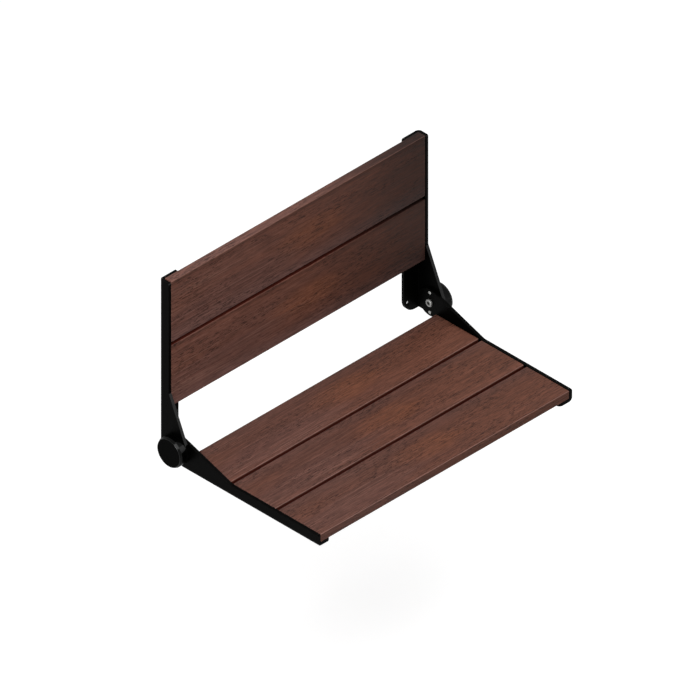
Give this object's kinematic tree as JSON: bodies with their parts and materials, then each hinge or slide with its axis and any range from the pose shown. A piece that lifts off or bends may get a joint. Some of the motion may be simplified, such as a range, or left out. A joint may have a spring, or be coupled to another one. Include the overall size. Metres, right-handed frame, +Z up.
{
  "type": "fold down wall seat",
  "caption": "Wall-mounted bench seat of timber slats on bent steel plate arms that fold up against a slatted back on two pinned friction hinges.",
  "frame": {"origin": "centre of the four wall bolt holes, on the wall's surface", "axes": "+X along the wall to the right of someone who faces it, +Y into the wall, +Z up"},
  "size_m": [0.688, 0.3937, 0.393],
  "materials": {
    "frame_coat": "satin black powder coat over bent steel plate",
    "cap_coat": "satin black coat on a turned cap",
    "slat_timber": "oiled dark hardwood with fine grain along the slat",
    "bright_steel": "bright stainless steel",
    "bush_plastic": "plain bearing plastic"
  },
  "bodies": {
    "wall_frame": {"left_wall_bracket": "frame_coat", "right_wall_bracket": "frame_coat", "upper_back_slat": "slat_timber", "lower_back_slat": "slat_timber", "back_slat_screws": "bright_steel", "left_pivot_bush": "bush_plastic", "right_pivot_bush": "bush_plastic", "left_friction_washers": "bush_plastic", "right_friction_washers": "bush_plastic"},
    "seat": {"left_seat_arm": "frame_coat", "right_seat_arm": "frame_coat", "rear_seat_slat": "slat_timber", "middle_seat_slat": "slat_timber", "front_seat_slat": "slat_timber", "seat_slat_screws": "bright_steel", "left_pivot_bolt": "bright_steel", "right_pivot_bolt": "bright_steel", "left_bolt_washer": "bright_steel", "right_bolt_washer": "bright_steel", "left_pivot_sleeve": "bright_steel", "right_pivot_sleeve": "bright_steel", "left_stop_pins": "bright_steel", "right_stop_pins": "bright_steel", "left_stop_disc": "bright_steel", "right_stop_disc": "bright_steel", "left_disc_springs": "bright_steel", "right_disc_springs": "bright_steel", "left_lock_nut": "bright_steel", "right_lock_nut": "bright_steel", "left_hinge_cap": "cap_coat", "right_hinge_cap": "cap_coat"}
  },
  "joints": [
    {"name": "seat_fold", "type": "hinge", "parent": "wall_frame", "child": "seat", "pos_m": [0, -0.0408, -0.0322], "axis": [-1, 0, 0], "range_deg": [0, 90]}
  ]
}
